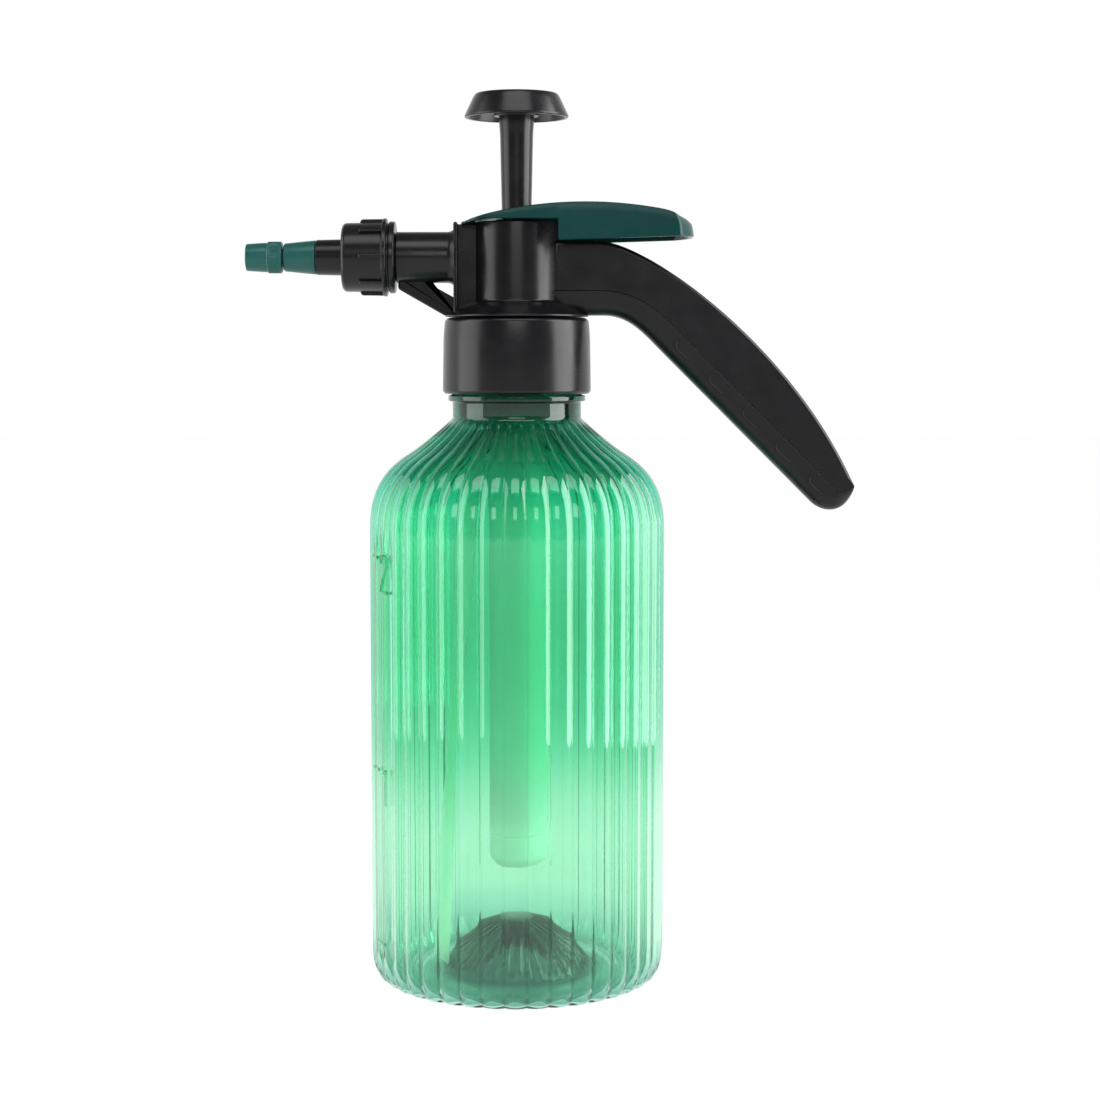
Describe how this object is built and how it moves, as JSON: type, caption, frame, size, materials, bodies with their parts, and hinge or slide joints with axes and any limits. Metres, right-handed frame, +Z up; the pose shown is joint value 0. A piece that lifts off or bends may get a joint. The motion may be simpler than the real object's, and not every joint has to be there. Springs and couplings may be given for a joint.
{
  "type": "hand pump sprayer",
  "caption": "Hand-pump pressure mister: fluted clear bottle, screw-on head with curved handle, plunger pump, thumb lever and adjustable spray nozzle.",
  "frame": {"origin": "on the surface the bottle stands on, under the middle of the whole object's box", "axes": "+Z up along the bottle, +X towards the handle's end, the spray leaves towards -X"},
  "size_m": [0.2498, 0.122, 0.3655],
  "materials": {
    "bottle_green": "clear tinted, glossy",
    "black_plastic": "satin",
    "grip_plastic": "satin",
    "lever_green": "satin",
    "nozzle_green": "satin",
    "natural_plastic": "translucent natural",
    "rubber": "matte",
    "steel": "plain"
  },
  "bodies": {
    "bottle": {"bottle": "bottle_green"},
    "head": {"head_shell": "black_plastic", "grip_cover": "grip_plastic", "pump_barrel": "natural_plastic", "foot_valve_seat": "natural_plastic", "foot_valve_umbrella": "rubber", "pump_guide_cap": "black_plastic", "neck_gasket": "rubber", "feed_o_ring": "rubber", "dip_tube": "natural_plastic", "lever_pin": "steel", "valve_seat": "natural_plastic", "valve_gland": "natural_plastic", "stem_o_ring": "rubber", "valve_spring": "steel"},
    "collar": {"screw_collar": "black_plastic"},
    "piston_seal": {"piston_ring": "rubber"},
    "pump": {"pump_rod": "black_plastic", "pump_knob": "black_plastic", "piston": "black_plastic"},
    "lever": {"lever": "lever_green"},
    "valve": {"valve_stem": "natural_plastic", "valve_washer": "rubber"},
    "lance": {"lance_tube": "black_plastic", "lance_washer": "rubber", "nozzle_base": "nozzle_green", "swirl_core": "natural_plastic"},
    "lance_nut": {"lance_nut": "black_plastic"},
    "nozzle_seal": {"nozzle_o_ring": "rubber"},
    "nozzle_cap": {"nozzle_cap": "nozzle_green"}
  },
  "joints": [
    {"name": "head_lift", "type": "slide", "parent": "bottle", "child": "head", "axis": [0, 0, 1], "range_m": [0, 0.0061]},
    {"name": "collar_turn", "type": "hinge", "parent": "head", "child": "collar", "pos_m": [-0.014, 0, 0.259], "axis": [0, 0, 1], "range_deg": [0, 540]},
    {"name": "pump_stroke", "type": "slide", "parent": "head", "child": "piston_seal", "axis": [0, 0, 1], "range_m": [0, 0.19]},
    {"name": "knob_spin", "type": "hinge", "parent": "piston_seal", "child": "pump", "pos_m": [-0.014, 0, 0.36], "axis": [0, 0, 1], "continuous": true},
    {"name": "lever_press", "type": "hinge", "parent": "head", "child": "lever", "pos_m": [-0.0335, 0, 0.3096], "axis": [0, 1, 0], "range_deg": [0, 6.5], "stiffness_Nm_per_rad": 3, "springref_deg": -2.86, "deforming": ["valve_spring"]},
    {"name": "stem_travel", "type": "slide", "parent": "head", "child": "valve", "axis": [-1, 0, 0], "range_m": [0, 0.0013]},
    {"name": "lance_advance", "type": "slide", "parent": "head", "child": "lance", "axis": [-1, 0, 0], "range_m": [0, 0.002]},
    {"name": "nut_turn", "type": "hinge", "parent": "lance", "child": "lance_nut", "pos_m": [-0.074, 0, 0.299], "axis": [-1, 0, 0], "range_deg": [0, 360]},
    {"name": "nozzle_advance", "type": "slide", "parent": "lance", "child": "nozzle_seal", "axis": [-1, 0, 0], "range_m": [0, 0.0015]},
    {"name": "nozzle_turn", "type": "hinge", "parent": "nozzle_seal", "child": "nozzle_cap", "pos_m": [-0.119, 0, 0.299], "axis": [-1, 0, 0], "range_deg": [0, 360]}
  ],
  "couplings": [
    {"joint": "head_lift", "follows": "collar_turn", "m_per_rad": 0.0006366},
    {"joint": "stem_travel", "follows": "lever_press", "m_per_rad": 0.0106},
    {"joint": "nut_turn", "follows": "lance_advance", "rad_per_m": 3141},
    {"joint": "nozzle_turn", "follows": "nozzle_advance", "rad_per_m": 4188}
  ]
}
